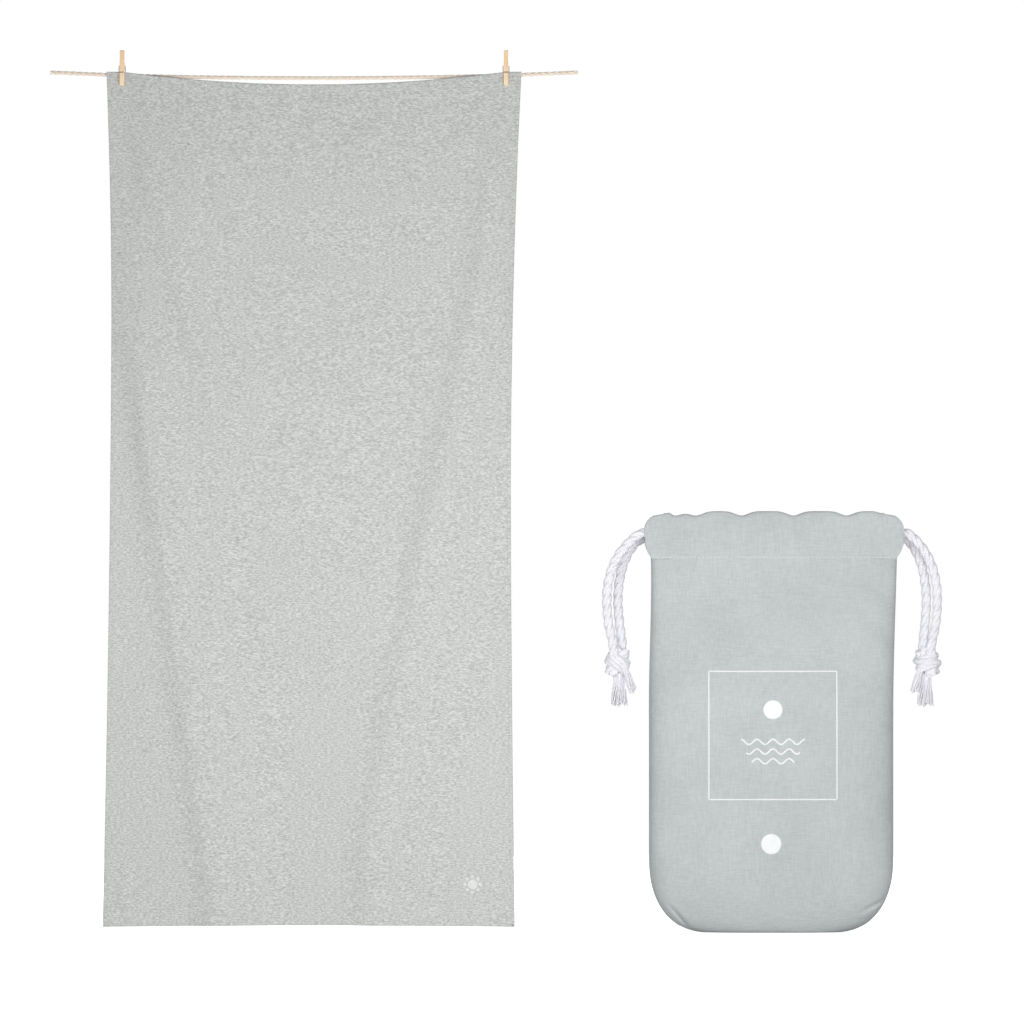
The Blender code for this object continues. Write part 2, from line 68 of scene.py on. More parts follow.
def signed_power(value, power):
    return math.copysign(abs(value) ** power, value)


def bump(distance, width):
    return math.exp(-((distance / width) ** 2))


def linear(value):
    """A screen value from 0 to 1, as the light it stands for."""
    if value < 0.04:
        return value / 12.92
    return ((value + 0.055) / 1.055) ** 2.4


def srgb(red, green, blue):
    """A colour given as screen values from 0 to 255."""
    return tuple(linear(value / 255) for value in (red, green, blue))


# --- Camera ---

FIELD = 958 * MM  # width of the picture at the towel
CAMERA_X = 185.1 * MM
CAMERA_Z = -405.9 * MM
CAMERA_DISTANCE = 8.0
SENSOR = 36


def add_camera():
    data = bpy.data.cameras.new("camera")
    data.sensor_width = SENSOR
    data.lens = SENSOR * CAMERA_DISTANCE / FIELD
    data.clip_end = 100
    camera = bpy.data.objects.new("camera", data)
    camera.location = (CAMERA_X, -CAMERA_DISTANCE, CAMERA_Z)
    camera.rotation_euler = (math.radians(90), 0, 0)
    bpy.context.collection.objects.link(camera)
    bpy.context.scene.camera = camera


# --- Materials ---

WEAVE_THREAD = 0.9 * MM
WEAVE_DEPTH = 0.12 * MM


class Nodes:
    """Short calls for building a material's nodes."""

    def __init__(self, name):
        self.material = bpy.data.materials.new(name)
        self.material.use_nodes = True
        self.tree = self.material.node_tree
        self.shader = self.tree.nodes["Principled BSDF"]

    def add(self, kind, **settings):
        node = self.tree.nodes.new(kind)
        for key, value in settings.items():
            setattr(node, key, value)
        return node

    def link(self, source, target):
        self.tree.links.new(source, target)

    def feed(self, value, socket):
        """Sets an input to a number, or links another node's output to it."""
        if isinstance(value, (int, float)):
            socket.default_value = value
        else:
            self.link(value, socket)

    def place(self, scale):
        """The object's own coordinates in metres, stretched."""
        where = self.add("ShaderNodeTexCoord")
        mapping = self.add("ShaderNodeMapping")
        mapping.inputs["Scale"].default_value = scale
        self.link(where.outputs["Object"], mapping.inputs["Vector"])
        return mapping.outputs["Vector"]

    def noise(self, scale, detail, roughness=0.5):
        node = self.add("ShaderNodeTexNoise")
        node.inputs["Scale"].default_value = 1.0
        node.inputs["Detail"].default_value = detail
        node.inputs["Roughness"].default_value = roughness
        self.link(self.place(scale), node.inputs["Vector"])
        return node.outputs["Fac"]

    def ramp(self, value, stops):
        node = self.add("ShaderNodeValToRGB")
        first, last = node.color_ramp.elements
        first.position, first.color = stops[0][0], (*stops[0][1], 1)
        last.position, last.color = stops[-1][0], (*stops[-1][1], 1)
        for position, colour in stops[1:-1]:
            node.color_ramp.elements.new(position).color = (*colour, 1)
        self.link(value, node.inputs["Fac"])
        return node.outputs["Color"]

    def math(self, operation, a, b):
        node = self.add("ShaderNodeMath", operation=operation)
        for socket, value in zip(node.inputs, (a, b)):
            self.feed(value, socket)
        return node.outputs[0]

    def mix(self, factor, a, b):
        node = self.add("ShaderNodeMix", data_type="RGBA")
        self.feed(factor, node.inputs["Factor"])
        self.link(a, node.inputs["A"])
        self.link(b, node.inputs["B"])
        return node.outputs["Result"]

    def bump(self, height, distance, strength):
        node = self.add("ShaderNodeBump")
        node.inputs["Strength"].default_value = strength
        node.inputs["Distance"].default_value = distance
        self.link(height, node.inputs["Height"])
        self.link(node.outputs["Normal"], self.shader.inputs["Normal"])


def rough_range(nodes, value, low, high):
    """A roughness that follows a pattern between two values."""
    node = nodes.add("ShaderNodeMapRange")
    node.inputs["To Min"].default_value = low
    node.inputs["To Max"].default_value = high
    nodes.link(value, node.inputs["Value"])
    nodes.link(node.outputs["Result"], nodes.shader.inputs["Roughness"])


def set_values(nodes, **values):
    for name, value in values.items():
        nodes.shader.inputs[name.replace("_", " ")].default_value = value
    return nodes.material


def heather_material():
    """Two-tone microfibre: short level streaks of light and dark yarn over a fine knit."""
    n = Nodes("heather_cloth")
    streaks = n.noise((330, 330, 1020), detail=2.0, roughness=0.7)
    specks = n.noise((700, 700, 1500), detail=1.0)
    drift = n.noise((9, 9, 14), detail=2.0)
    dark = srgb(146, 149, 147)
    middle = srgb(199, 201, 199)
    light = srgb(238, 240, 236)
    yarn = n.ramp(streaks, [(0.32, dark), (0.5, middle), (0.68, light)])
    fleck = n.ramp(specks, [(0.35, srgb(172, 174, 173)), (0.65, srgb(224, 226, 223))])
    tone = n.ramp(drift, [(0.3, srgb(194, 196, 195)), (0.7, srgb(204, 206, 203))])
    colour = n.mix(0.35, yarn, fleck)
    colour = n.mix(0.15, colour, tone)
    n.link(colour, n.shader.inputs["Base Color"])
    rough_range(n, specks, 0.86, 1.0)
    height = n.math("ADD", streaks, specks)
    n.bump(height, 0.35 * MM, 0.6)
    return set_values(n, Sheen_Weight=0.25, Sheen_Roughness=0.5, Specular_IOR_Level=0.2)


def weave_material(name, dark, light):
    """A fine plain weave: threads one way and the other, with slubs and a little uneven dye."""
    n = Nodes(name)
    across = n.noise((120, 120, 1 / WEAVE_THREAD), detail=1.0)
    upward = n.noise((1 / WEAVE_THREAD, 1 / WEAVE_THREAD, 90), detail=1.0)
    cloud = n.noise((16, 16, 16), detail=3.0)
    threads = n.math("ADD", n.math("MULTIPLY", across, 0.5), n.math("MULTIPLY", upward, 0.5))
    yarn = n.ramp(threads, [(0.35, dark), (0.65, light)])
    dye = n.ramp(cloud, [(0.3, dark), (0.7, light)])
    colour = n.mix(0.35, yarn, dye)
    n.link(colour, n.shader.inputs["Base Color"])
    rough_range(n, threads, 0.8, 0.98)
    n.bump(threads, WEAVE_DEPTH, 0.7)
    return set_values(n, Sheen_Weight=0.15, Sheen_Roughness=0.4, Specular_IOR_Level=0.25)


def fibre_material(name, dark, light, length, breadth, depth):
    """Spun fibre: fine streaks along the yarn and a soft, uneven surface."""
    n = Nodes(name)
    fibres = n.noise((1 / length, 1 / breadth, 1 / breadth), detail=3.0)
    patches = n.noise((0.4 / length, 0.4 / length, 0.4 / length), detail=2.0)
    colour = n.ramp(fibres, [(0.3, dark), (0.7, light)])
    tone = n.ramp(patches, [(0.3, dark), (0.7, light)])
    n.link(n.mix(0.3, colour, tone), n.shader.inputs["Base Color"])
    rough_range(n, fibres, 0.8, 1.0)
    n.bump(fibres, depth, 0.8)
    return set_values(n, Sheen_Weight=0.3, Sheen_Roughness=0.5, Specular_IOR_Level=0.2)


def wood_material():
    """Pale birch: grain along the leg, darker at the handles, which are handled more."""
    n = Nodes("birch")
    grain = n.noise((1500, 1500, 60), detail=4.0, roughness=0.6)
    rings = n.noise((380, 380, 14), detail=2.0)
    where = n.add("ShaderNodeSeparateXYZ")
    n.link(n.place((1, 1, 1)), where.inputs["Vector"])
    height = n.add("ShaderNodeMapRange")
    height.inputs["From Min"].default_value = 4 * MM
    height.inputs["From Max"].default_value = 12 * MM
    n.link(where.outputs["Z"], height.inputs["Value"])
    lower = n.ramp(grain, [(0.3, srgb(244, 209, 168)), (0.7, srgb(255, 238, 210))])
    upper = n.ramp(grain, [(0.3, srgb(246, 198, 150)), (0.7, srgb(255, 230, 190))])
    tone = n.mix(height.outputs["Result"], lower, upper)
    streak = n.ramp(rings, [(0.35, srgb(244, 200, 156)), (0.6, srgb(255, 234, 202))])
    n.link(n.mix(0.3, tone, streak), n.shader.inputs["Base Color"])
    rough_range(n, grain, 0.5, 0.72)
    n.bump(grain, 0.08 * MM, 0.7)
    return set_values(n, Specular_IOR_Level=0.35)


def steel_material():
    """Drawn spring wire with fine scratches and a few warm tarnish marks."""
    n = Nodes("spring_steel")
    scratches = n.noise((900, 2600, 2600), detail=2.0)
    tarnish = n.noise((260, 260, 260), detail=3.0)
    colour = n.ramp(tarnish, [(0.4, srgb(172, 162, 150)), (0.7, srgb(140, 112, 84))])
    n.link(colour, n.shader.inputs["Base Color"])
    rough_range(n, scratches, 0.25, 0.45)
    n.bump(scratches, 0.02 * MM, 0.5)
    return set_values(n, Metallic=1.0)


# --- Mesh helpers ---

SHARP_ANGLE = math.radians(60)


def add_piece(name, points, faces, finish, body):
    mesh = bpy.data.meshes.new(name)
    mesh.from_pydata([tuple(p) for p in points], [], faces)
    mesh.materials.append(finish)
    mesh.shade_smooth()
    mesh.set_sharp_from_angle(angle=SHARP_ANGLE)
    made = bpy.data.objects.new(name, mesh)
    bpy.context.collection.objects.link(made)
    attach(made, body)
    return made


def sheet_faces(columns, rows):
    """Faces of a closed sheet whose front grid is followed by its back grid."""
    behind = columns * rows
    faces = []
    for j in range(rows - 1):
        for i in range(columns - 1):
            k = j * columns + i
            square = [k, k + columns, k + columns + 1, k + 1]
            faces.append(square)
            faces.append([behind + p for p in reversed(square)])
    rim = list(range(columns))
    rim += [j * columns + columns - 1 for j in range(1, rows)]
    rim += [(rows - 1) * columns + i for i in range(columns - 2, -1, -1)]
    rim += [j * columns for j in range(rows - 2, 0, -1)]
    for here, after in zip(rim, rim[1:] + rim[:1]):
        faces.append([here, after, behind + after, behind + here])
    return faces


def add_sheet(name, across, down, front, back, finish, body):
    points = [front(a, d) for d in down for a in across]
    points += [back(a, d) for d in down for a in across]
    return add_piece(name, points, sheet_faces(len(across), len(down)), finish, body)


def smooth_route(stops, step):
    """Points about one step apart on a smooth curve through the stops."""
    stops = [Vector(p) for p in stops]
    padded = [2 * stops[0] - stops[1]] + stops + [2 * stops[-1] - stops[-2]]
    route = [stops[0]]
    for before, here, after, beyond in zip(padded, padded[1:], padded[2:], padded[3:]):
        pieces = max(1, round((after - here).length / step))
        for k in range(1, pieces + 1):
            t = k / pieces
            bend = 2 * before - 5 * here + 4 * after - beyond
            twist = 3 * here - before - 3 * after + beyond
            route.append(0.5 * (2 * here + (after - before) * t + bend * t**2 + twist * t**3))
    return route


def route_length(route):
    return sum((b - a).length for a, b in zip(route, route[1:]))


def cross_directions(route):
    """Two directions across the route at each point, carried along it without twisting."""
    found = []
    side = None
    for i, here in enumerate(route):
        ahead = (route[min(i + 1, len(route) - 1)] - route[max(i - 1, 0)]).normalized()
        if side is None:
            side = ahead.orthogonal().normalized()
        side = (side - ahead * side.dot(ahead)).normalized()
        found.append((side, ahead.cross(side)))
    return found


class Builder:
    """Gathers many tubes and patches into one mesh."""

    def __init__(self):
        self.points = []
        self.faces = []

    def tube(self, route, radius, sides):
        """radius is a number, or a function of the share of the way along."""
        first = len(self.points)
        last = len(route) - 1
        for i, (place, (side, up)) in enumerate(zip(route, cross_directions(route))):
            r = radius(i / last) if callable(radius) else radius
            for k in range(sides):
                angle = math.tau * k / sides
                self.points.append(place + r * (math.cos(angle) * side + math.sin(angle) * up))
        for i in range(last):
            for k in range(sides):
                a = first + i * sides + k
                b = first + i * sides + (k + 1) % sides
                self.faces.append([a, b, b + sides, a + sides])
        self.faces.append([first + k for k in reversed(range(sides))])
        self.faces.append([first + last * sides + k for k in range(sides)])

    def twist(self, route, offset, radius, pitch, plies, sides):
        """A laid rope: plies at an offset from the route, which turn round it once in each pitch."""
        directions = cross_directions(route)
        for ply in range(plies):
            travelled = 0.0
            strand = []
            for i, (place, (side, up)) in enumerate(zip(route, directions)):
                if i:
                    travelled += (place - route[i - 1]).length
                angle = math.tau * (travelled / pitch + ply / plies)
                strand.append(place + offset * (math.cos(angle) * side + math.sin(angle) * up))
            self.tube(strand, radius, sides)

    def piece(self, name, finish, body):
        return add_piece(name, self.points, self.faces, finish, body)


# --- Line ---

LINE_REACH = 246.5 * MM
LINE_END_RISE = 5.3 * MM
LINE_PEG_RISE = 2.5 * MM
PEG_X = 179.5 * MM
LINE_PIECES = 420
TWINE_LAY = (0.96 * MM, 0.92 * MM, 19 * MM)  # the plies' offset, radius and pitch
HAIR_COUNT = 260
HAIR_STEP = 37  # pieces of the line from one hair to the next
HAIR_TURN = 2.4  # radians round the line from one hair to the next
HAIR_ROOT = 1.6  # millimetres from the line's middle
HAIR_RADIUS = 0.05 * MM


def line_height(x):
    """The line hangs slack between the pegs and rises straight to each end outside them."""
    x = abs(x)
    if x < PEG_X:
        return LINE_PEG_RISE * (x / PEG_X) ** 2
    return blend(LINE_PEG_RISE, LINE_END_RISE, (x - PEG_X) / (LINE_REACH - PEG_X))


def add_line(finish):
    route = [Vector((x, 0, line_height(x))) for x in even(-LINE_REACH, LINE_REACH, LINE_PIECES)]
    rope = Builder()
    rope.twist(route, *TWINE_LAY, plies=3, sides=8)
    for k in range(HAIR_COUNT):
        add_hair(rope, route, k)
    made = rope.piece("twisted_line", finish, "line")
    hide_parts("clothes_line")
    route_length(route)


def add_hair(rope, route, k):
    """A stray fibre that lifts off the twine."""
    place = route[(k * HAIR_STEP + 11) % len(route)]
    angle = k * HAIR_TURN
    outward = Vector((0, math.cos(angle), math.sin(angle)))
    along = Vector((math.copysign(1, math.sin(k * 1.7)), 0, 0))
    reach = (0.5 + 0.5 * abs(math.sin(k * 3.1))) * MM
    start = place + outward * HAIR_ROOT * MM
    middle = start + along * 1.4 * reach + outward * 0.3 * reach
    end = middle + along * reach + outward * 0.45 * reach
    rope.tube([start, middle, end], HAIR_RADIUS, sides=3)


# --- Towel ---

TOWEL_TOP_HALF_WIDTH = 194 * MM
TOWEL_WAIST_LEFT = 190 * MM
TOWEL_WAIST_RIGHT = 184 * MM
TOWEL_BOTTOM_LEFT = 197.9 * MM
TOWEL_BOTTOM_RIGHT = 187.6 * MM
TOWEL_CORNER_Z = 5.8 * MM
TOWEL_LENGTH = 800 * MM
TOP_SAG = 11.9 * MM
BOTTOM_LIFT = 1.6 * MM
PANEL_THICKNESS = 0.9 * MM
HEM_THICKNESS = 1.6 * MM
HEM_WIDTH = 4 * MM
FOLD_DEPTH = 7.5 * MM
PLUMB_SHIFT = 6.7 * MM
CLOTH_SLACK = 1.5 * MM
SLACK_RUN = 15 * MM
HELD_RUN = 3.52 * MM  # half the width that a peg holds flat
TOWEL_Y = -3 * MM
SIDE_HEM_SHARE = HEM_WIDTH / TOWEL_TOP_HALF_WIDTH
END_HEM_SHARE = HEM_WIDTH / TOWEL_LENGTH
EMBLEM_X = 148.6 * MM
EMBLEM_Z = -754.9 * MM
EMBLEM_RADIUS = 9 * MM
CREASE_DEPTH = 0.7 * MM
CREASE_RATE = 17  # waves round a peg, in radians per radian
BROAD_CRUMPLE = 1.6 * MM
FINE_CRUMPLE = 0.35 * MM
HEM_SIDES = 10
STITCHES_DOWN = 250  # along each side hem
STITCHES_ACROSS = 122  # along the top and the bottom hem
STITCH_SHARE = 0.62  # of the way from one stitch to the next
STITCH_INSET = 0.78  # of the hem's width in from the towel's edge
STITCH_DIP = 0.35 * MM
HEM_THREAD_RADIUS = 0.22 * MM
SATIN_ROWS = 22
SATIN_LIFT = 0.35 * MM
RAY_COUNT = 8
RAY_THREAD_GAP = 0.42 * MM


def towel_x(a, h):
    """a runs from -1 at the left edge to 1 at the right one, h from 0 at the top to 1 at the bottom."""
    if a < 0:
        top = (TOWEL_TOP_HALF_WIDTH - TOWEL_WAIST_LEFT) * (1 - share(h, 0, 0.3)) ** 2
        bottom = (TOWEL_BOTTOM_LEFT - TOWEL_WAIST_LEFT) * share(h, 0.3, 1) ** 1.6
        return a * (TOWEL_WAIST_LEFT + top + bottom)
    top = (TOWEL_TOP_HALF_WIDTH - TOWEL_WAIST_RIGHT) * (1 - share(h, 0, 0.5)) ** 2
    bottom = (TOWEL_BOTTOM_RIGHT - TOWEL_WAIST_RIGHT) * share(h, 0.5, 1) ** 1.5
    return a * (TOWEL_WAIST_RIGHT + top + bottom)


def towel_z(a, h):
    peg_share = PEG_X / TOWEL_TOP_HALF_WIDTH
    dip = max(0, 1 - (a / peg_share) ** 2)
    top = TOWEL_CORNER_Z - TOP_SAG * dip
    bottom = TOWEL_CORNER_Z - TOWEL_LENGTH + BOTTOM_LIFT * (1 - a * a)
    return blend(top, bottom, h)


def towel_slack(x):
    beyond = abs(abs(x) - PEG_X) - HELD_RUN
    return CLOTH_SLACK * share(beyond, 0, SLACK_RUN) ** 2


def fold(past, steep, gentle):
    """A fold that rises sharply on one side and sinks gently on the other."""
    return bump(past, steep if past < 0 else gentle)


def towel_folds(a, h):
    """Two folds run down and inward on the left and one on the right, and the side edges fall back."""
    inward = 1 - abs(a)
    if a < 0:
        upper = fold(inward - blend(0.1, 0.5, share(h, 0, 0.39)), 0.07, 0.22)
        lower = fold(inward - blend(0.09, 0.52, share(h, 0.28, 0.95)), 0.07, 0.24)
        slanted = 0.7 * upper * (1 - smooth_share(h, 0.3, 0.55)) + lower * smooth_share(h, 0.22, 0.42)
    else:
        slanted = fold(blend(0.13, 0.72, share(h, 0.2, 0.9)) - inward, 0.08, 0.26)
    fallen = 0.7 * share(abs(a), 0.86, 1) ** 2 * (1 - smooth_share(h, 0.22, 0.45))
    return FOLD_DEPTH * smooth_share(h, 0.02, 0.16) * (slanted - fallen)


def pull_creases(a, h):
    """Fine creases that fan out from each peg where the cloth's weight pulls on it."""
    peg = PEG_X / TOWEL_TOP_HALF_WIDTH
    across = (peg - abs(a)) * TOWEL_TOP_HALF_WIDTH
    down = h * TOWEL_LENGTH + 4 * MM
    angle = math.atan2(across, down)
    far = math.hypot(across, down)
    strength = smooth_share(far, 12 * MM, 60 * MM) * (1 - smooth_share(far, 120 * MM, 330 * MM))
    uneven = 0.6 + 0.6 * noise.noise(Vector((angle * 3, far * 8, 3 + math.copysign(1, a))))
    return CREASE_DEPTH * strength * uneven * math.sin(angle * CREASE_RATE + 1.4 * math.copysign(1, a))


def crumple(x, z):
    """Soft, uneven relief left from being folded away."""
    broad = noise.noise(Vector((x * 9, 4.0, z * 5)))
    fine = noise.noise(Vector((x * 34, 9.0, z * 22)))
    return broad * BROAD_CRUMPLE + fine * FINE_CRUMPLE


def towel_point(a, h, ahead):
    x = towel_x(a, h)
    z = towel_z(a, h)
    held = TOWEL_Y - towel_slack(x) * (1 - smooth_share(h, 0.3, 1))
    plumb = PLUMB_SHIFT * smooth_share(h, 0.03, 0.3)
    relief = smooth_share(h, 0.03, 0.14) * (pull_creases(a, h) + crumple(x, z))
    return Vector((x, held + plumb - towel_folds(a, h) - relief - ahead, z))


def add_towel_panel(finish):
    reach = 1 - 0.5 * SIDE_HEM_SHARE
    end = 0.5 * END_HEM_SHARE

    def front(a, h):
        return towel_point(a, h, PANEL_THICKNESS / 2)

    def back(a, h):
        return towel_point(a, h, -PANEL_THICKNESS / 2)

    columns = even(-reach, reach, 150)
    rows = even(end, 1 - end, 260)
    made = add_sheet("towel_cloth", columns, rows, front, back, finish, "towel")
    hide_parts("towel_panel")
    return made


def hem_section():
    """The outline of a folded edge, a flattened round, as offsets along and through the cloth."""
    section = []
    for k in range(HEM_SIDES):
        angle = math.tau * k / HEM_SIDES
        along = HEM_WIDTH / 2 * signed_power(math.cos(angle), 0.6)
        deep = HEM_THICKNESS / 2 * signed_power(math.sin(angle), 0.7)
        section.append((along, deep))
    return section


def add_hem(name, places, inward, node, finish):
    """places are (a, h) along the hem's middle, and inward says which way its width runs."""
    section = hem_section()
    points = []
    for a, h in places:
        for along, deep in section:
            da = along / TOWEL_TOP_HALF_WIDTH if inward == "a" else 0
            dh = along / TOWEL_LENGTH if inward == "h" else 0
            points.append(towel_point(a + da, h + dh, deep))
    faces = []
    for i in range(len(places) - 1):
        here = i * HEM_SIDES
        after = here + HEM_SIDES
        for k in range(HEM_SIDES):
            j = (k + 1) % HEM_SIDES
            faces.append([here + k, here + j, after + j, after + k])
    faces.append(list(range(HEM_SIDES)))
    faces.append([len(points) - 1 - k for k in range(HEM_SIDES)])
    made = add_piece(name, points, faces, finish, "towel")
    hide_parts(node)
    return made


def add_hems(finish):
    side = 1 - 0.5 * SIDE_HEM_SHARE
    end = 0.5 * END_HEM_SHARE
    level = even(-1, 1, 240)
    upright = even(0.25 * END_HEM_SHARE, 1 - 0.25 * END_HEM_SHARE, 260)
    return [
        add_hem("hem_top", [(a, end) for a in level], "h", "towel_top_hem", finish),
        add_hem("hem_bottom", [(a, 1 - end) for a in level], "h", "towel_bottom_hem", finish),
        add_hem("hem_left", [(-side, h) for h in upright], "a", "towel_left_hem", finish),
        add_hem("hem_right", [(side, h) for h in upright], "a", "towel_right_hem", finish),
    ]


def add_hem_stitches(finish):
    """One row of short stitches along the inner side of each hem, on the front and the back."""
    inset_a = STITCH_INSET * SIDE_HEM_SHARE
    inset_h = STITCH_INSET * END_HEM_SHARE
    thread = Builder()

    def stitch(start, end, face):
        ahead = (HEM_THICKNESS / 2 + 0.02 * MM) * face
        sunk = ahead - STITCH_DIP * face
        middle = ((start[0] + end[0]) / 2, (start[1] + end[1]) / 2)
        stops = [towel_point(*start, sunk), towel_point(*middle, ahead), towel_point(*end, sunk)]
        thread.tube(smooth_route(stops, 0.8 * MM), HEM_THREAD_RADIUS, sides=5)

    for face in (1, -1):
        for k in range(STITCHES_DOWN):
            h = blend(inset_h, 1 - inset_h, k / STITCHES_DOWN)
            after = h + STITCH_SHARE / STITCHES_DOWN
            for a in (inset_a - 1, 1 - inset_a):
                stitch((a, h), (a, after), face)
        for k in range(STITCHES_ACROSS):
            a = blend(inset_a - 1, 1 - inset_a, k / STITCHES_ACROSS)
            after = a + 2 * STITCH_SHARE / STITCHES_ACROSS
            for h in (inset_h, 1 - inset_h):
                stitch((a, h), (after, h), face)
    return thread.piece("hem_stitches", finish, "towel")


def add_emblem(finish):
    """A plain sun in satin stitch: a disc of level threads, and eight short rays."""
    threads = Builder()
    centre_a = EMBLEM_X / TOWEL_BOTTOM_RIGHT
    centre_h = (TOWEL_CORNER_Z - EMBLEM_Z) / TOWEL_LENGTH

    def on_cloth(right, down, ahead):
        a = centre_a + right / TOWEL_BOTTOM_RIGHT
        return towel_point(a, centre_h + down / TOWEL_LENGTH, PANEL_THICKNESS / 2 + ahead)

    disc = 0.5 * EMBLEM_RADIUS
    for k in range(SATIN_ROWS):
        down = blend(-disc, disc, (k + 0.5) / SATIN_ROWS)
        half = math.sqrt(disc**2 - down**2)
        stops = [on_cloth(-half, down, 0), on_cloth(0, down, SATIN_LIFT), on_cloth(half, down, 0)]
        threads.tube(smooth_route(stops, 1 * MM), 0.26 * MM, sides=6)
    for ray in range(RAY_COUNT):
        angle = math.tau * ray / RAY_COUNT
        for k in range(-3, 4):
            sideways = k * RAY_THREAD_GAP
            reach = EMBLEM_RADIUS - 0.35 * abs(k) * MM
            ends = []
            for far in (0.66 * EMBLEM_RADIUS, 0.82 * EMBLEM_RADIUS, reach):
                right = far * math.cos(angle) - sideways * math.sin(angle)
                down = far * math.sin(angle) + sideways * math.cos(angle)
                ends.append((right, down))
            stops = [on_cloth(*ends[0], 0), on_cloth(*ends[1], SATIN_LIFT), on_cloth(*ends[2], 0)]
            threads.tube(smooth_route(stops, 1 * MM), 0.24 * MM, sides=6)
    made = threads.piece("embroidered_sun", finish, "towel")
    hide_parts("towel_corner_emblem")
    return made


def add_towel(heather, thread, white):
    panel = add_towel_panel(heather)
    hems = add_hems(heather)
    stitches = add_hem_stitches(thread)
    emblem = add_emblem(white)


# --- Pegs ---


def finish_pegs(wood, steel):
    """The pegs' own shapes stay, with their finishes replaced."""
    for name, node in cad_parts.items():
        if "_peg_" not in name:
            continue
        finish = wood if name.endswith("_leg") else steel
        node.data.materials.clear()
        node.data.materials.append(finish)


# --- Pouch ---

POUCH_X = 430.1 * MM
POUCH_BASE_Z = -798.6 * MM
SEAM_Z = -448.3 * MM
CASING_TOP_Z = -405 * MM
POUCH_HALF_WIDTH = 114 * MM
POUCH_LEAN = 2.6 * MM
POUCH_HALF_DEPTH = 36 * MM
NECK_HALF_WIDTH = 114.8 * MM
NECK_HALF_DEPTH = 19 * MM
CORNER_WIDTH = 53 * MM
CORNER_HEIGHT = 68 * MM
CORNER_DEPTH = 16 * MM
CORNER_POWER = 2.2
CLOTH = 1.2 * MM
CASING_THICKNESS = 13 * MM
EAR_HALF_WIDTH = 121.6 * MM
EAR_Z = -428.5 * MM
EAR_TOP_Z = -408 * MM
EAR_START = 0.7
EAR_TUCK = 6.8 * MM
EAR_ROUND = 18 * MM
EAR_SETTLE = 1.9 * MM  # how far the top edge sinks beside each ear
PUCKER_DEPTH = 4.2 * MM
PUCKER_WIDTH = 9 * MM
PUCKERS = (-1, -0.76, -0.6, -0.25, 0.15, 0.56, 1)
CORNER_TOP = POUCH_BASE_Z + CORNER_HEIGHT
PRINT_X = 428.2 * MM
PRINT_Z = -614 * MM
PRINT_HALF = 59.7 * MM
PRINT_LINE = 1.3 * MM
DOT_X = 426.6 * MM
DOT_Z = -715.2 * MM
DOT_RADIUS = 9.6 * MM
SUN_RADIUS = 9 * MM
SUN_RISE = 24 * MM
WAVE_COUNT = 3
WAVE_HEIGHT = 2.4 * MM
WAVE_RATE = 420  # radians per metre
WAVE_LINE = 1.6 * MM
INK_LIFT = 0.28 * MM
INK_THICKNESS = 0.2 * MM
DISC_RINGS = 8
DISC_SPOKES = 48
GATHER_DEPTH = 0.28 * MM
GATHER_FADE = 34 * MM
BROAD_RELIEF = 2.0 * MM
FINE_RELIEF = 0.5 * MM
WRINKLE_DEPTH = 0.9 * MM
# Each corner's tuck: across from the pouch's middle, height, and lean in radians
TUCKS = ((-88 * MM, -785 * MM, 0.7), (95 * MM, -772 * MM, -1.1))
TUCK_DEPTH = 3 * MM
TUCK_SWELL = 1.4 * MM
# The foot's rings: share of the full size, and height over the base
FOOT_RINGS = ((0.5, 0.0), (0.9, 0.0), (1.0, 0.15 * MM), (1.02, 0.5 * MM))
FOOT_SIDES = 72
SEAM_RADIUS = 0.85 * MM
CASING_SIDES = 40
CASING_LAP = 1.6 * MM  # how far the casing reaches below the seam
CASING_PROUD = 0.25 * MM  # how far it stands out from the neck
CASING_STITCHES = 58
CASING_STITCH_SHARE = 0.66
CASING_STITCH_DIP = 0.4 * MM
CASING_THREAD_RADIUS = 0.3 * MM


def pouch_section(v, inset):
    """Half width, half depth, height and squareness. v runs from 0 at the neck through 1, where the
    bottom corners start, to 2 at the middle of the base."""
    if v <= 1:
        z = blend(SEAM_Z, CORNER_TOP, v)
        neck = (1 - share(v, 0, 0.25)) ** 2
        width = blend(POUCH_HALF_WIDTH, NECK_HALF_WIDTH, neck) - inset
        depth = blend(NECK_HALF_DEPTH, POUCH_HALF_DEPTH, smooth_share(v, 0, 0.55)) - inset
        power = blend(2.8, 6, (1 - share(v, 0, 0.45)) ** 2)
        return width, depth, z, power
    angle = math.pi / 2 * (v - 1)
    inward = math.cos(angle) ** (2 / CORNER_POWER)
    downward = math.sin(angle) ** (2 / CORNER_POWER)
    width = POUCH_HALF_WIDTH - CORNER_WIDTH + (CORNER_WIDTH - inset) * inward
    depth = POUCH_HALF_DEPTH - CORNER_DEPTH + (CORNER_DEPTH - inset) * inward
    z = CORNER_TOP - (CORNER_HEIGHT - inset) * downward
    return width, depth, z, 2.8


def neck_gathers(x, z, side):
    """Small upright ruffles that start at the stitch line and fade down the body."""
    below = SEAM_Z - z
    fade = math.exp(-max(0, below) / GATHER_FADE)
    warp = 9 * noise.noise(Vector((x * 11, side, 2.0)))
    ripple = math.sin(x * 520 + warp) + 0.6 * math.sin(x * 910 + 2 * warp)
    patch = 0.45 + 0.55 * abs(noise.noise(Vector((x * 22, side * 3, 7.0))))
    return GATHER_DEPTH * fade * ripple * patch


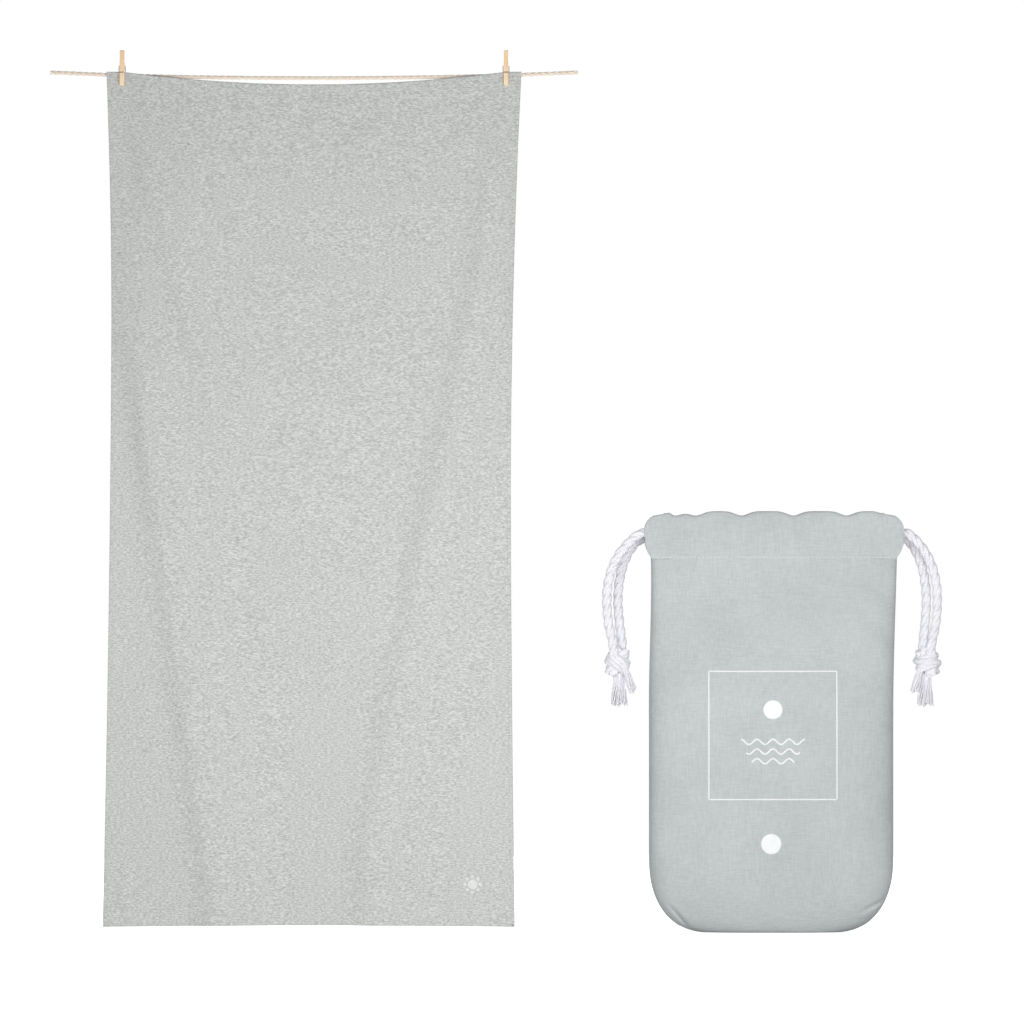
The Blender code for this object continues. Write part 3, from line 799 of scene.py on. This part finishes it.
def body_relief(x, z, side):
    """How far the body's cloth stands in or out of its plain form."""
    off = x - POUCH_X
    broad = BROAD_RELIEF * noise.noise(Vector((x * 14, side * 5, z * 10)))
    fine = FINE_RELIEF * noise.noise(Vector((x * 60, side * 5, z * 38)))
    edge = smooth_share(abs(off), 70 * MM, 105 * MM)
    slant = math.sin((z + 0.55 * abs(off)) * 150 + 6 * noise.noise(Vector((x * 9, 1.0, z * 9))))
    near_top = 1 - smooth_share(SEAM_Z - z, 30 * MM, 150 * MM)
    wrinkle = WRINKLE_DEPTH * edge * near_top * slant
    return broad + fine + wrinkle + corner_tucks(off, z)


def corner_tucks(off, z):
    """A short, sharp tuck in each bottom corner, where the base is folded in."""
    total = 0.0
    for tuck_x, tuck_z, lean in TUCKS:
        across = (off - tuck_x) * math.cos(lean) + (z - tuck_z) * math.sin(lean)
        along = (z - tuck_z) * math.cos(lean) - (off - tuck_x) * math.sin(lean)
        total -= TUCK_DEPTH * bump(across, 1.6 * MM) * bump(along, 12 * MM)
        total += TUCK_SWELL * bump(across - 4 * MM, 3.5 * MM) * bump(along, 13 * MM)
    return total


def body_x(v):
    """The middle of the body at this height."""
    return POUCH_X - POUCH_LEAN * smooth_share(v, 0, 0.5)


def pouch_point(u, v, inset, side):
    """u runs from -1 at the left edge to 1 at the right one, on the front (-1) or back (1) side."""
    width, depth, z, power = pouch_section(v, inset)
    angle = math.pi * (1 - u) / 2
    x = body_x(v) + width * signed_power(math.cos(angle), 2 / power)
    y = depth * max(0.0, math.sin(angle)) ** (2 / power)
    held = share(y, 1 * MM, 9 * MM) * (1 - smooth_share(v, 1.75, 1.95))
    relief = held * (body_relief(x, z, side) + neck_gathers(x, z, side))
    return Vector((x, side * (y + relief), z))


def front_y(x, z):
    """The front surface's Y at a place well inside its edges."""
    v = (SEAM_Z - z) / (SEAM_Z - CORNER_TOP)
    width, depth, _, power = pouch_section(v, 0)
    y = depth * (1 - abs((x - body_x(v)) / width) ** power) ** (1 / power)
    return -(y + body_relief(x, z, -1) + neck_gathers(x, z, -1))


def add_body_half(name, side, node, finish):
    def outer(u, v):
        return pouch_point(u, v, 0, side)

    def inner(u, v):
        return pouch_point(u, v, CLOTH, side)

    rows = even(0, 1, 150) + even(1, 1.97, 44)[1:]
    columns = even(-1, 1, 130)
    made = add_sheet(name, columns, rows, outer, inner, finish, "pouch")
    if side > 0:
        made.data.flip_normals()
    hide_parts(node)


def add_side_seams(finish):
    """A narrow rolled seam down each side, where front and back are sewn together."""
    for side, name in ((-1, "left"), (1, "right")):
        route = []
        for v in even(0.0, 1.72, 120):
            width, _, z, _ = pouch_section(v, 0.5 * MM)
            route.append(Vector((body_x(v) + side * width, 0, z)))
        welt = Builder()
        welt.tube(route, SEAM_RADIUS, sides=8)
        made = welt.piece(f"pouch_{name}_welt", finish, "pouch")
        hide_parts(f"pouch_{name}_seam")


def add_base(finish):
    """The flat foot, a soft oval with its edge turned up into the body."""
    width, depth, _, power = pouch_section(1.94, CLOTH)
    middle = body_x(2)
    points = [Vector((middle, 0, POUCH_BASE_Z))]
    for scale, lift in FOOT_RINGS:
        for k in range(FOOT_SIDES):
            angle = math.tau * k / FOOT_SIDES
            x = width * scale * signed_power(math.cos(angle), 2 / power)
            y = depth * scale * signed_power(math.sin(angle), 2 / power)
            points.append(Vector((middle + x, y, POUCH_BASE_Z + lift)))
    faces = [[0, 1 + (k + 1) % FOOT_SIDES, 1 + k] for k in range(FOOT_SIDES)]
    for j in range(len(FOOT_RINGS) - 1):
        for k in range(FOOT_SIDES):
            a = 1 + j * FOOT_SIDES + k
            b = 1 + j * FOOT_SIDES + (k + 1) % FOOT_SIDES
            faces.append([a, b, b + FOOT_SIDES, a + FOOT_SIDES])
    made = add_piece("pouch_foot", points, faces, finish, "pouch")
    thick = made.modifiers.new("cloth", "SOLIDIFY")
    thick.thickness = CLOTH
    thick.offset = -1
    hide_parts("pouch_base")


def ear_drop(z):
    """How far a casing's rounded ear falls back from its widest place at this height."""
    if z < EAR_Z:
        return EAR_TUCK * ((EAR_Z - z) / (EAR_Z - SEAM_Z)) ** 2
    rise = share(z, EAR_Z, EAR_TOP_Z)
    return EAR_ROUND * (1 - (1 - rise**2.5) ** 0.4)


def casing_x(place, z):
    """place runs from -1 at the left ear to 1 at the right one."""
    fallen = math.copysign(ear_drop(z), place) * share(abs(place), EAR_START, 1) ** 2
    return POUCH_X + place * EAR_HALF_WIDTH - fallen


def pucker(place):
    width = PUCKER_WIDTH / EAR_HALF_WIDTH
    return PUCKER_DEPTH * sum(bump(place - p, width) for p in PUCKERS)


def ear_creases(x, z):
    """Soft hollows beside each ear, where the cords pull the cloth in."""
    off = abs(x - POUCH_X)
    hollow = bump(off - 97 * MM, 9 * MM) * bump(z + 429 * MM, 13 * MM)
    fold = bump(off - 60 * MM - 0.7 * (z + 425 * MM), 5 * MM) * bump(z + 421 * MM, 9 * MM)
    return -2.2 * MM * hollow - 0.9 * MM * fold


def casing_ring(place, side, inset):
    low = SEAM_Z - CASING_LAP
    above_ear = CASING_TOP_Z - EAR_SETTLE * smooth_share(abs(place), 0.74, 0.88)
    high = min(CASING_TOP_Z - pucker(place), above_ear)
    middle = (low + high) / 2
    half_height = (high - low) / 2 - inset
    half_depth = CASING_THICKNESS / 2 - inset
    centre_y = side * (NECK_HALF_DEPTH + CASING_PROUD - CASING_THICKNESS / 2)
    ring = []
    for k in range(CASING_SIDES):
        angle = math.tau * (k + 0.5) / CASING_SIDES
        z = middle + half_height * signed_power(math.sin(angle), 0.4)
        y = half_depth * signed_power(math.cos(angle), 0.28 if math.sin(angle) > 0 else 0.1)
        x = casing_x(place, z)
        outward = math.copysign(1, y)
        gather = neck_gathers(x, SEAM_Z - 0.25 * abs(z - SEAM_Z), side * outward)
        uneven = noise.noise(Vector((x * 30, side * 3 + outward, z * 35)))
        crease = ear_creases(x, z) + 1.1 * MM * uneven
        y += outward * 0.8 * (gather + crease) * share(abs(y), 1 * MM, 4 * MM)
        ring.append(Vector((x, centre_y + y, z)))
    return ring


def add_casing(name, side, node, finish):
    places = even(-1, 1, 200)
    outer = [casing_ring(place, side, 0) for place in places]
    inner = [casing_ring(place, side, CLOTH) for place in places]
    count = CASING_SIDES
    rows = len(outer)
    points = [p for ring in outer + inner for p in ring]
    inside = rows * count
    faces = []
    for i in range(count):
        k = (i + 1) % count
        for j in range(rows - 1):
            wall = [j * count + k, j * count + i, (j + 1) * count + i, (j + 1) * count + k]
            faces.append(wall)
            faces.append([inside + p for p in reversed(wall)])
        faces.append([i, k, inside + k, inside + i])
        last = (rows - 1) * count
        faces.append([last + k, last + i, inside + last + i, inside + last + k])
    made = add_piece(name, points, faces, finish, "pouch")
    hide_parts(node)


def add_casing_stitches(finish):
    """The white row of stitches that closes each casing, sunk a little into the gathers."""
    thread = Builder()
    half = NECK_HALF_WIDTH - 5 * MM
    dip = CASING_STITCH_DIP
    for side in (-1, 1):
        for k in range(CASING_STITCHES):
            start = blend(-half, half, k / CASING_STITCHES)
            end = start + CASING_STITCH_SHARE * 2 * half / CASING_STITCHES
            stops = []
            for x, sunk in ((start, dip), ((start + end) / 2, 0), (end, dip)):
                place = POUCH_X + x
                gather = neck_gathers(place, SEAM_Z, side)
                y = side * (NECK_HALF_DEPTH + 0.35 * MM + 0.8 * gather - sunk)
                stops.append((place, y, SEAM_Z + 0.2 * MM))
            thread.tube(smooth_route(stops, 0.9 * MM), CASING_THREAD_RADIUS, sides=6)
    thread.piece("casing_stitches", finish, "pouch")


def add_print(finish):
    """The pale print on the front: a square outline with a plain sun over three waves, and a dot."""
    ink = Builder()

    def on_front(x, z):
        return Vector((x, front_y(x, z) - INK_LIFT, z))

    def ribbon(path, breadth):
        """A flat band of ink along a path of (x, z)."""
        first = len(ink.points)
        for i, (x, z) in enumerate(path):
            before = path[max(i - 1, 0)]
            after = path[min(i + 1, len(path) - 1)]
            along = Vector((after[0] - before[0], after[1] - before[1])).normalized()
            for sign in (-1, 1):
                beside = x - sign * along.y * breadth / 2
                level = z + sign * along.x * breadth / 2
                ink.points.append(on_front(beside, level))
        for i in range(len(path) - 1):
            a = first + 2 * i
            ink.faces.append([a, a + 1, a + 3, a + 2])

    def disc(x, z, radius):
        middle = len(ink.points)
        ink.points.append(on_front(x, z))
        for j in range(1, DISC_RINGS + 1):
            for k in range(DISC_SPOKES):
                angle = math.tau * k / DISC_SPOKES
                r = radius * j / DISC_RINGS
                ink.points.append(on_front(x + r * math.cos(angle), z + r * math.sin(angle)))
        first = middle + 1
        for k in range(DISC_SPOKES):
            after = (k + 1) % DISC_SPOKES
            ink.faces.append([middle, first + after, first + k])
            for j in range(DISC_RINGS - 1):
                a = first + j * DISC_SPOKES + k
                b = first + j * DISC_SPOKES + after
                ink.faces.append([a, b, b + DISC_SPOKES, a + DISC_SPOKES])

    low_x, high_x = PRINT_X - PRINT_HALF, PRINT_X + PRINT_HALF
    low_z, high_z = PRINT_Z - PRINT_HALF, PRINT_Z + PRINT_HALF
    for z in (low_z, high_z):
        ribbon([(x, z) for x in even(low_x, high_x, 90)], PRINT_LINE)
    for x in (low_x, high_x):
        ribbon([(x, z) for z in even(low_z, high_z, 90)], PRINT_LINE)
    disc(PRINT_X, PRINT_Z + SUN_RISE, SUN_RADIUS)
    for wave in range(WAVE_COUNT):
        level = PRINT_Z - (6 + 9 * wave) * MM
        half = (30 - 5 * wave) * MM
        across = even(-half, half, 90)
        path = [(PRINT_X + x, level + WAVE_HEIGHT * math.cos(x * WAVE_RATE)) for x in across]
        ribbon(path, WAVE_LINE)
    disc(DOT_X, DOT_Z, DOT_RADIUS)
    made = ink.piece("pouch_print", finish, "pouch")
    thick = made.modifiers.new("ink", "SOLIDIFY")
    thick.thickness = INK_THICKNESS
    thick.offset = 0


def add_pouch(cloth, white, ink):
    add_body_half("pouch_front_cloth", -1, "pouch_front_panel", cloth)
    add_body_half("pouch_back_cloth", 1, "pouch_back_panel", cloth)
    add_side_seams(cloth)
    add_base(cloth)
    add_casing("front_casing_cloth", -1, "pouch_front_casing", cloth)
    add_casing("back_casing_cloth", 1, "pouch_back_casing", cloth)
    add_casing_stitches(white)
    add_print(ink)


# --- Drawcords ---

CORD_RUN_INSIDE = 70 * MM
CASING_END = EAR_HALF_WIDTH - 1.1 * MM
# Each lay is its plies' offset, radius and pitch
CORD_LAY = (2.05 * MM, 2.6 * MM, 30 * MM)
WRAP_LAY = (2.1 * MM, 2.6 * MM, 75 * MM)
CORE_LAY = (3.6 * MM, 3.4 * MM, 40 * MM)
KNOT_BITE = 6 * MM  # how far the strands run on inside the knot
KNOT_LEAN = math.radians(26)
KNOT_TURNS = 2.3
KNOT_HALF_WIDTH = 8.4 * MM
KNOT_HALF_DEPTH = 6.2 * MM
KNOT_HALF_HEIGHT = 7.2 * MM
KNOT_CENTRE = Vector((25.8, 0, -546.3)) * MM
# Outward from the casing's end, along Y, and height, in millimetres
FRONT_STRAND = (
    (0, -12.5, -425.5),
    (10, -12.3, -429.8),
    (21.9, -11.3, -442),
    (30.2, -10, -456.6),
    (34.9, -8.6, -474.2),
    (35.8, -7.2, -492.9),
    (34, -5.8, -511.6),
    (30.6, -4.9, -526),
    (29.6, -4.8, -533.2),
)
BACK_STRAND = (
    (0, 12.5, -431),
    (10.6, 12.3, -437.2),
    (18.2, 11.3, -450),
    (22.8, 10, -464.6),
    (25, 8.6, -480),
    (25.2, 7.2, -494),
    (23.7, 5.8, -511.6),
    (21.8, 4.9, -526),
    (21.4, 4.8, -533.2),
)
LONG_TAIL = ((24.6, 3, -557), (24.2, 3, -575), (23.9, 3, -589))
SHORT_TAIL = ((21, -3, -549), (17, -5, -557), (13.8, -5.6, -567), (10.4, -6, -576))
# Each tail's name, stops, width of its fan in millimetres, and number of yarns
TAILS = (("long", LONG_TAIL, 8.4, 46), ("short", SHORT_TAIL, 4.4, 20))
YARN_RADIUS = 0.85 * MM
YARN_SWAY = 0.5 * MM
YARN_TURN = 2.399  # radians round the bundle from one yarn to the next
RIGHT_REACH = 0.89  # the right cord's bow outward, against 1 for the left one


def cord_place(side, reach, outward, y, z):
    """A place by its distance out from the casing's end."""
    return Vector((POUCH_X + side * (CASING_END + reach * outward), y, z))


def cord_places(side, reach, stops):
    return [cord_place(side, reach, out * MM, y * MM, z * MM) for out, y, z in stops]


def add_strand(name, node, body, side, reach, stops, finish):
    """One run of cord from inside the casing down to the knot."""
    _, y, z = stops[0]
    inside = cord_place(side, 1, -CORD_RUN_INSIDE, y * MM, z * MM)
    half_way = cord_place(side, 1, -CORD_RUN_INSIDE / 2, y * MM, z * MM)
    placed = cord_places(side, reach, stops)
    placed.append(placed[-1] + Vector((0, 0, -KNOT_BITE)))
    route = smooth_route([inside, half_way, *placed], 1.6 * MM)
    rope = Builder()
    rope.twist(route, *CORD_LAY, plies=3, sides=10)
    made = rope.piece(name, finish, body)
    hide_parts(node)
    return made, route


def add_knot(name, node, body, side, reach, finish):
    """An overhand knot: the doubled cord wraps round itself, leaning to one side."""
    out, y, z = KNOT_CENTRE
    centre = cord_place(side, reach, out, y, z)
    lean = Matrix.Rotation(KNOT_LEAN * -side, 3, "Y")
    route = []
    for t in even(0, 1, 130):
        angle = math.tau * KNOT_TURNS * t + 0.6
        full = 0.82 + 0.18 * math.sin(math.pi * t)
        offset = Vector((
            KNOT_HALF_WIDTH * full * math.cos(angle),
            KNOT_HALF_DEPTH * full * math.sin(angle),
            blend(KNOT_HALF_HEIGHT, -KNOT_HALF_HEIGHT, t),
        ))
        route.append(centre + lean @ offset)
    wraps = Builder()
    wraps.twist(route, *WRAP_LAY, plies=3, sides=9)
    core = [centre + lean @ Vector((0, 0, h * MM)) for h in (13, 10, 5, 0, -5, -10, -13)]
    wraps.twist(smooth_route(core, 1 * MM), *CORE_LAY, plies=4, sides=9)
    made = wraps.piece(name, finish, body)
    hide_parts(node)
    return made


def add_tail(name, node, body, side, reach, stops, fan, yarns, finish):
    """A cut end that has come unlaid: wavy yarns that part towards their tips."""
    route = smooth_route(cord_places(side, reach, stops), 1.5 * MM)
    directions = cross_directions(route)
    last = len(route) - 1
    bundle = Builder()
    for k in range(yarns):
        angle = k * YARN_TURN
        radial = math.sqrt((k + 0.5) / yarns)
        cut = 1 - 0.14 * abs(math.sin(k * 5.3))
        yarn = []
        for i, (place, (across, up)) in enumerate(zip(route, directions)):
            t = i / last
            if t > cut:
                break
            apart = blend(0.5 * fan, fan, t) * MM * radial
            turned = angle + 0.9 * t
            sideways = apart * math.cos(turned) + YARN_SWAY * t * math.sin(7 * t + k)
            yarn.append(place + sideways * across + apart * math.sin(turned) * up)
        bundle.tube(yarn, lambda t: YARN_RADIUS * (1 - 0.3 * t), sides=6)
    made = bundle.piece(name, finish, body)
    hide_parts(node)
    return made


def add_drawcord(hand, side, reach, finish):
    body = f"{hand}_drawcord"
    knot = add_knot(f"{hand}_cord_knot", f"{body}_knot", body, side, reach, finish)
    tails = []
    for which, stops, fan, yarns in TAILS:
        name = f"{hand}_cord_{which}_tail"
        node = f"{body}_{which}_tail"
        tails.append(add_tail(name, node, body, side, reach, stops, fan, yarns, finish))
    strands = (("front", FRONT_STRAND, [knot, *tails]), ("back", BACK_STRAND, [knot]))
    for which, stops, with_pieces in strands:
        made, route = add_strand(
            f"{hand}_cord_{which}", f"{body}_{which}_strand", body, side, reach, stops, finish
        )
        tuple(route[0])
        route_length(route)
        [tuple(p) for p in route]
        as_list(with_pieces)


# --- Floor and light ---

FLOOR_Z = POUCH_BASE_Z - 0.1 * MM
FLOOR_REACH = 8
FLOOR_GREY = (0.5, 0.5, 0.5, 1)
FLOOR_GLOW = (0.86, 0.86, 0.86, 1)
FLOOR_LIGHT = 0.1
WORLD_LIGHT = 0.33
LAMP_TARGET = Vector((CAMERA_X, 0, -0.5))
# Each lamp's name, place, size in metres and power in watts
LAMPS = (
    ("right", (0.55, -1.25, -0.54), 0.7, 8.95),
    ("left", (-0.35, -1.3, -0.54), 0.7, 5.8),
    ("back", (0.2, 1.7, -0.2), 1.0, 15),
    ("left_rim", (-1.7, -0.3, -0.5), 0.8, 1.9),
    ("right_rim", (2.1, -0.3, -0.5), 0.8, 1.9),
)


def add_floor():
    corners = ((-1, -1), (1, -1), (1, 1), (-1, 1))
    points = [(x * FLOOR_REACH, y * FLOOR_REACH, FLOOR_Z) for x, y in corners]
    mesh = bpy.data.meshes.new("floor")
    mesh.from_pydata(points, [], [[0, 1, 2, 3]])
    floor = bpy.data.objects.new("floor", mesh)
    bpy.context.collection.objects.link(floor)
    n = Nodes("pale_floor")
    n.shader.inputs["Base Color"].default_value = FLOOR_GREY
    n.shader.inputs["Roughness"].default_value = 0.9
    n.shader.inputs["Emission Color"].default_value = FLOOR_GLOW
    n.link(white_to_camera(n.tree, FLOOR_LIGHT), n.shader.inputs["Emission Strength"])
    mesh.materials.append(n.material)


def white_to_camera(tree, light):
    """A strength of 1 where the camera looks, and a softer one where it lights the object."""
    rays = tree.nodes.new("ShaderNodeLightPath")
    strength = tree.nodes.new("ShaderNodeMapRange")
    strength.inputs["To Min"].default_value = light
    strength.inputs["To Max"].default_value = 1.0
    tree.links.new(rays.outputs["Is Camera Ray"], strength.inputs["Value"])
    return strength.outputs["Result"]


def add_world():
    world = bpy.data.worlds.new("studio")
    world.use_nodes = True
    background = world.node_tree.nodes["Background"]
    background.inputs["Color"].default_value = (1, 1, 1, 1)
    strength = white_to_camera(world.node_tree, WORLD_LIGHT)
    world.node_tree.links.new(strength, background.inputs["Strength"])
    bpy.context.scene.world = world


def add_lamp(name, place, size, power):
    data = bpy.data.lights.new(name, "AREA")
    data.shape = "DISK"
    data.size = size
    data.energy = power
    lamp = bpy.data.objects.new(name, data)
    lamp.location = place
    lamp.rotation_euler = (LAMP_TARGET - Vector(place)).to_track_quat("-Z", "Y").to_euler()
    bpy.context.collection.objects.link(lamp)


# --- The whole set ---

# Each fibre's dark and light colours, then its streaks' length, breadth and depth
FIBRES = {
    "twine": (srgb(238, 216, 190), srgb(255, 250, 240), 2.5 * MM, 0.4 * MM, 0.15 * MM),
    "cotton_cord": (srgb(224, 223, 231), srgb(250, 250, 253), 3 * MM, 0.6 * MM, 0.2 * MM),
    "hem_thread": (srgb(170, 173, 170), srgb(206, 209, 205), 2 * MM, 0.3 * MM, 0.05 * MM),
    "white_thread": (srgb(214, 216, 214), srgb(238, 240, 238), 2 * MM, 0.3 * MM, 0.06 * MM),
}


def make_cords():
    twine = fibre_material("twine", *FIBRES["twine"])
    cotton = fibre_material("cotton_cord", *FIBRES["cotton_cord"])
    add_line(twine)
    add_drawcord("left", -1, 1.0, cotton)
    add_drawcord("right", 1, RIGHT_REACH, cotton)


def make_rest():
    heather = heather_material()
    thread = fibre_material("hem_thread", *FIBRES["hem_thread"])
    white = fibre_material("white_thread", *FIBRES["white_thread"])
    cloth = weave_material("pouch_cloth", srgb(177, 183, 183), srgb(199, 205, 205))
    ink = weave_material("pale_ink", srgb(236, 239, 239), srgb(250, 251, 251))
    add_towel(heather, thread, white)
    finish_pegs(wood_material(), steel_material())
    add_pouch(cloth, white, ink)


add_camera()
make_cords()
make_rest()
add_floor()
add_world()
for lamp in LAMPS:
    add_lamp(*lamp)
bpy.context.scene.view_settings.view_transform = "Standard"
